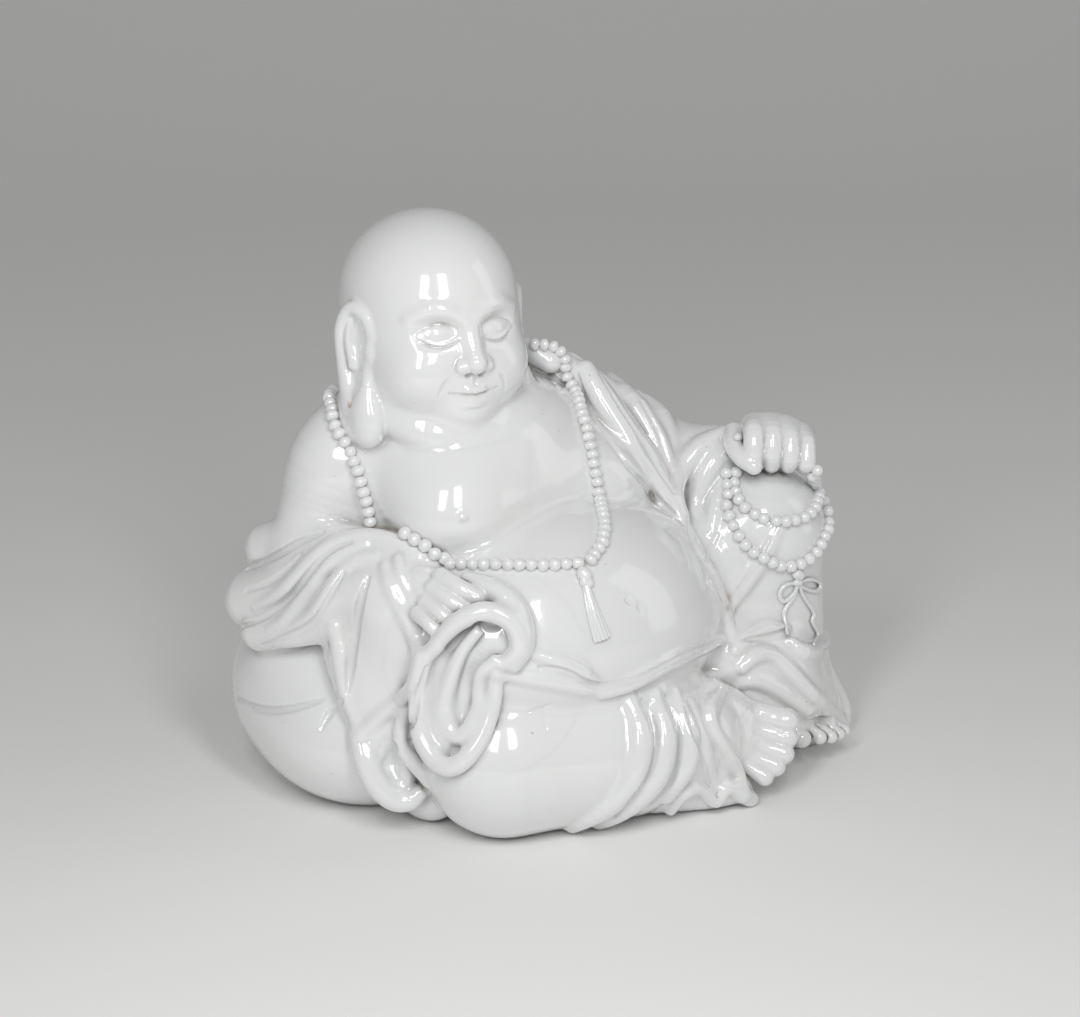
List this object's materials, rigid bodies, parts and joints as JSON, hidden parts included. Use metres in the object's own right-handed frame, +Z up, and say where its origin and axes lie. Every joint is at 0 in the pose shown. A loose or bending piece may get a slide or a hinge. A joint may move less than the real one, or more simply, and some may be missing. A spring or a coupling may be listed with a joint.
{
  "type": "budai figure",
  "caption": "Seated figure of a fat, bald sage in glazed porcelain, leaning back on a sack, with prayer beads on the raised knee; stands on its flat underside.",
  "frame": {"origin": "on the ground plane, under the middle of the figure's bounding box", "axes": "+Z up; the figure faces -Y and its left side is +X"},
  "size_m": [0.2548, 0.2052, 0.25],
  "materials": {
    "porcelain": "white porcelain under a clear, glossy, faintly bluish glaze, a little brown in the deepest creases"
  },
  "bodies": {
    "root": {"budai": "porcelain"}
  },
  "joints": []
}
